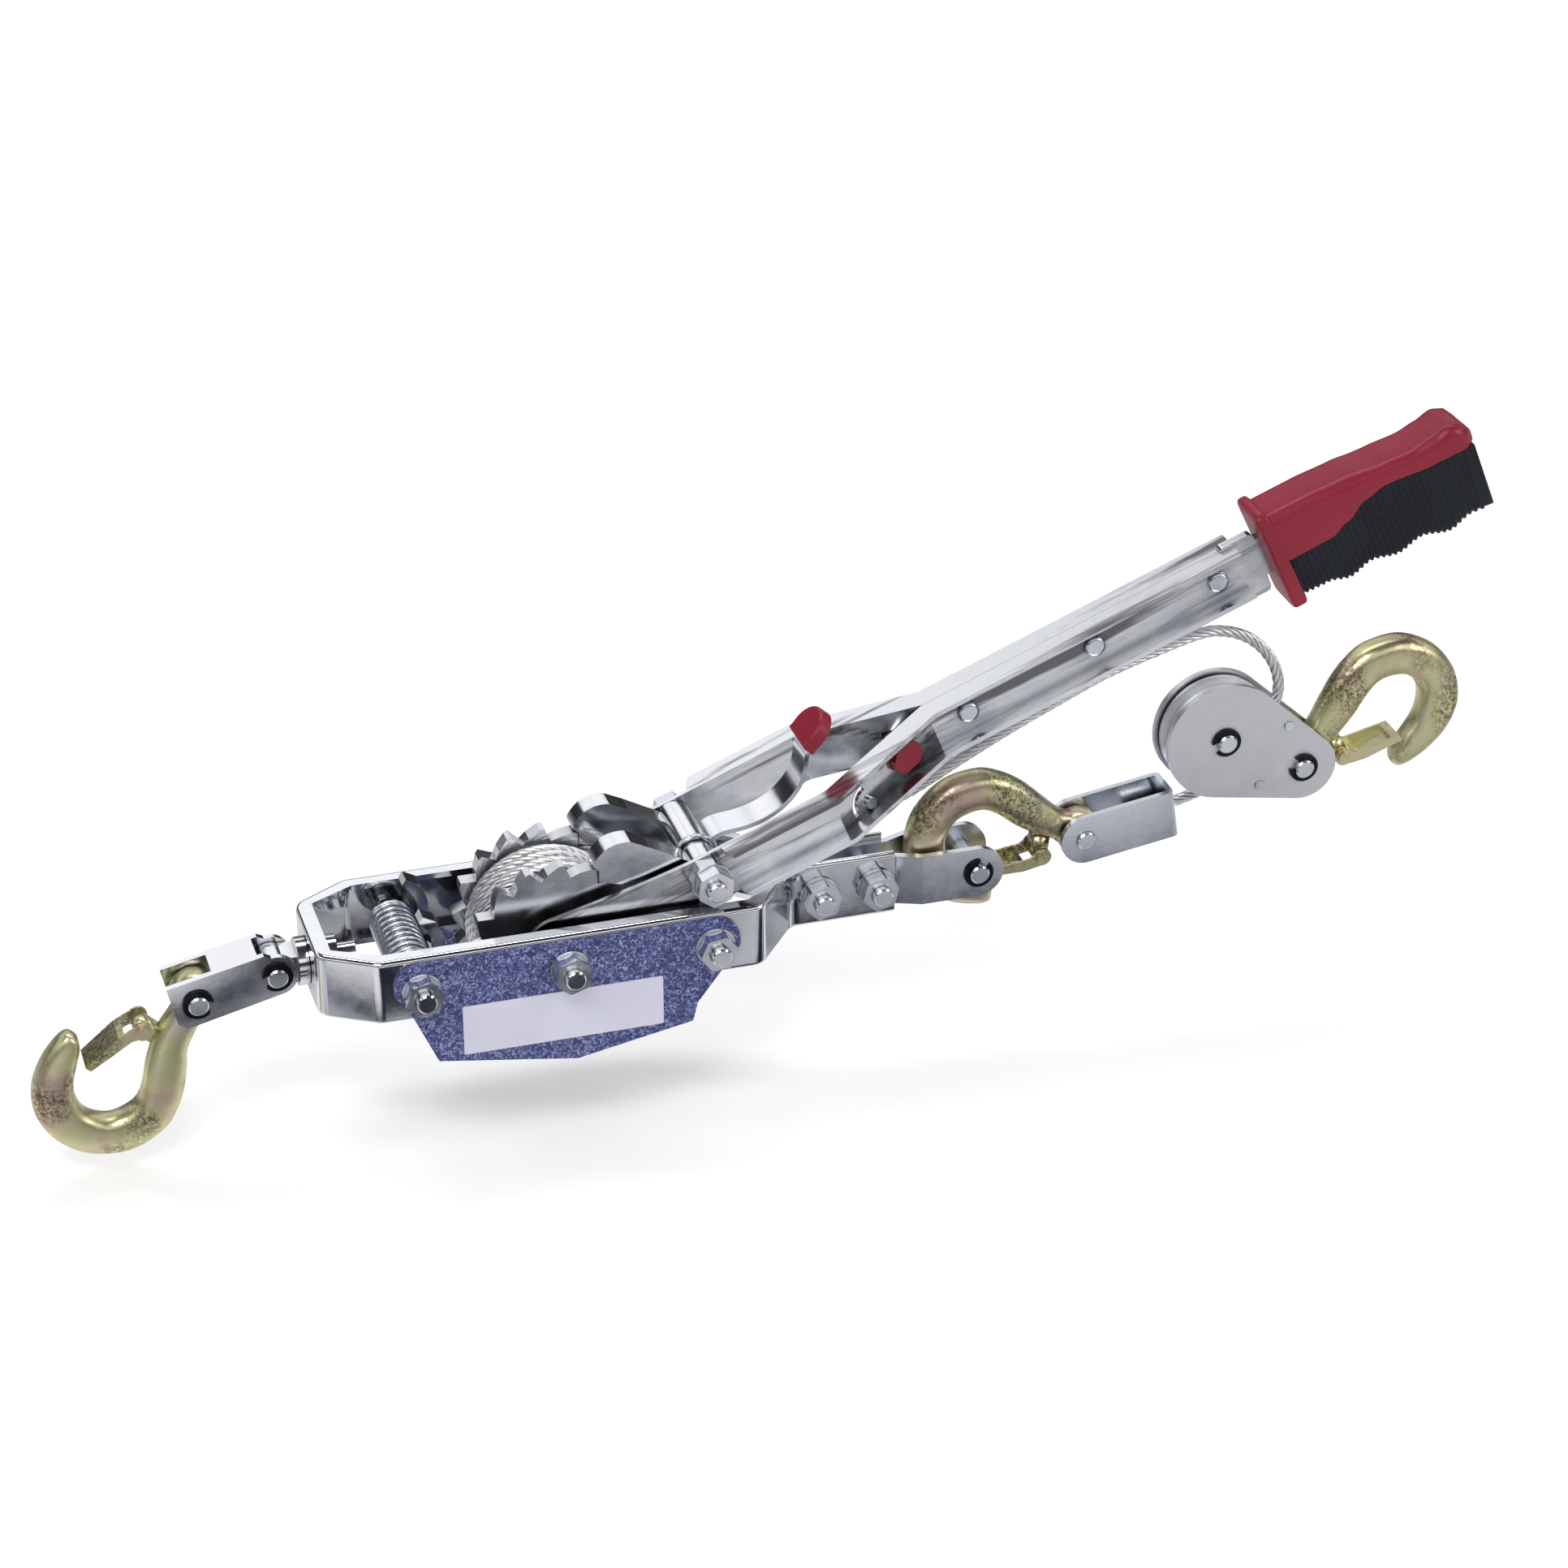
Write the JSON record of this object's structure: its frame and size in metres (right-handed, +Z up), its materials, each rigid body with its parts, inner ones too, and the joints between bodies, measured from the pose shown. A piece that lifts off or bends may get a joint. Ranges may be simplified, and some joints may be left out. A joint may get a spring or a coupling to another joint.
{
  "type": "come along winch",
  "caption": "Hand ratchet cable puller with a lever handle, ratchet drum, side guards, swivel anchor hook, rope hook and pulley block.",
  "frame": {"origin": "middle of the drum axle, on the mid-plane between the two frame sides", "axes": "+X from the anchor hook toward the pulley block, +Y along the drum axle away from the side with the label, +Z up"},
  "size_m": [0.7491, 0.1117, 0.3031],
  "materials": {
    "chrome_plate": "bright plated steel",
    "zinc_plate": "bluish zinc plate",
    "satin_steel": "satin light grey steel",
    "gold_zinc": "yellow zinc plate with greenish and pink tints",
    "blue_paint": "blue hammertone paint",
    "blank_label": "pale blank label",
    "black_steel": "blackened spring steel",
    "red_plastic": "crimson plastic",
    "dark_rubber": "dark ribbed rubber",
    "wire_rope": "galvanised twisted strands"
  },
  "bodies": {
    "frame_body": {"frame": "chrome_plate", "guard_near": "blue_paint", "guard_far": "blue_paint", "label_plate": "blank_label", "pawl_shaft": "chrome_plate", "drum_axle": "chrome_plate", "spacer_bolt": "chrome_plate", "frame_nuts": "zinc_plate", "washers": "zinc_plate", "neck_bolts": "zinc_plate", "spacer_tube": "chrome_plate", "axle_spacers": "chrome_plate", "bracket_straps": "zinc_plate", "bracket_pin": "zinc_plate", "bracket_clips": "black_steel", "hold_pawl_spring": "zinc_plate", "cable_run": "wire_rope", "cable_ferrule": "zinc_plate", "mid_clevis": "zinc_plate", "mid_clevis_pin": "zinc_plate"},
    "drum": {"drum_hub": "satin_steel", "wheel_near": "satin_steel", "wheel_far": "satin_steel", "cable_coil": "wire_rope"},
    "handle": {"handle_arm_near": "chrome_plate", "handle_arm_far": "chrome_plate", "handle_rivets": "zinc_plate", "grip_shell": "red_plastic", "grip_rubber": "dark_rubber", "pawl_bolt": "zinc_plate", "pawl_bolt_nuts": "zinc_plate"},
    "drive_pawl_body": {"drive_pawl": "chrome_plate", "pawl_lever": "chrome_plate", "lever_cap": "red_plastic", "drive_pawl_spring": "zinc_plate"},
    "holding_pawl_body": {"hold_pawl": "chrome_plate"},
    "selector": {"selector_caps": "red_plastic", "selector_rod": "zinc_plate"},
    "swivel": {"swivel_stud": "chrome_plate", "swivel_nut": "chrome_plate"},
    "end_fork": {"end_clevis": "chrome_plate", "end_stud_pin": "zinc_plate", "end_hook_pin": "zinc_plate", "end_clips": "black_steel"},
    "anchor_hook": {"end_hook": "gold_zinc", "end_latch_rivet": "gold_zinc"},
    "anchor_latch": {"end_latch": "gold_zinc"},
    "rope_hook": {"mid_hook": "gold_zinc", "mid_latch_rivet": "gold_zinc"},
    "rope_latch": {"mid_latch": "gold_zinc"},
    "pulley_block": {"pulley_cheeks": "satin_steel", "pulley_spacers": "zinc_plate", "sheave_pin": "zinc_plate", "pulley_hook_pin": "zinc_plate", "pulley_clips": "black_steel"},
    "sheave_body": {"sheave": "satin_steel"},
    "block_hook": {"pulley_hook": "gold_zinc", "pulley_latch_rivet": "gold_zinc"},
    "block_latch": {"pulley_latch": "gold_zinc"}
  },
  "joints": [
    {"name": "handle_swing", "type": "hinge", "parent": "frame_body", "child": "handle", "pos_m": [0, 0, 0], "axis": [0, -1, 0], "range_deg": [0, 90]},
    {"name": "drum_turn", "type": "hinge", "parent": "frame_body", "child": "drum", "pos_m": [0, 0, 0], "axis": [0, -1, 0], "range_deg": [0, 90]},
    {"name": "drive_pawl_lift", "type": "hinge", "parent": "handle", "child": "drive_pawl_body", "pos_m": [0.07299, 0, 0.03288], "axis": [0, 1, 0], "range_deg": [0, 25]},
    {"name": "holding_pawl_engage", "type": "hinge", "parent": "frame_body", "child": "holding_pawl_body", "pos_m": [-0.073, 0, 0], "axis": [0, -1, 0], "range_deg": [0, 8.5]},
    {"name": "selector_slide", "type": "slide", "parent": "handle", "child": "selector", "axis": [0.9265, 0, 0.3762], "range_m": [0, 0.004]},
    {"name": "swivel_turn", "type": "hinge", "parent": "frame_body", "child": "swivel", "pos_m": [-0.12, 0, 0], "axis": [1, 0, 0], "continuous": true},
    {"name": "end_fork_tilt", "type": "hinge", "parent": "swivel", "child": "end_fork", "pos_m": [-0.1365, 0, 0], "axis": [0, 1, 0], "range_deg": [-40, 40]},
    {"name": "anchor_hook_swing", "type": "hinge", "parent": "end_fork", "child": "anchor_hook", "pos_m": [-0.17545, 0, -0.00864], "axis": [0, 1, 0], "range_deg": [-35, 35]},
    {"name": "anchor_latch_open", "type": "hinge", "parent": "anchor_hook", "child": "anchor_latch", "pos_m": [-0.20228, 0, -0.02146], "axis": [0, -1, 0], "range_deg": [0, 25]},
    {"name": "rope_hook_play", "type": "hinge", "parent": "frame_body", "child": "rope_hook", "pos_m": [0.2784, 0, 0.007], "axis": [0, 1, 0], "range_deg": [-1, 0.4]},
    {"name": "rope_latch_open", "type": "hinge", "parent": "rope_hook", "child": "rope_latch", "pos_m": [0.25627, 0, -0.00073], "axis": [0, 1, 0], "range_deg": [0, 6]},
    {"name": "block_tilt", "type": "hinge", "parent": "frame_body", "child": "pulley_block", "pos_m": [0.3525, 0, 0.0515], "axis": [0, 1, 0], "range_deg": [0, 8]},
    {"name": "sheave_spin", "type": "hinge", "parent": "pulley_block", "child": "sheave_body", "pos_m": [0.3525, 0, 0.0515], "axis": [0, -1, 0], "continuous": true},
    {"name": "block_hook_swing", "type": "hinge", "parent": "pulley_block", "child": "block_hook", "pos_m": [0.39598, 0, 0.03048], "axis": [0, 1, 0], "range_deg": [-12, 35]},
    {"name": "block_latch_open", "type": "hinge", "parent": "block_hook", "child": "block_latch", "pos_m": [0.41969, 0, 0.03116], "axis": [0, -1, 0], "range_deg": [0, 25]}
  ],
  "couplings": [
    {"joint": "drum_turn", "follows": "handle_swing", "ratio": 1}
  ]
}
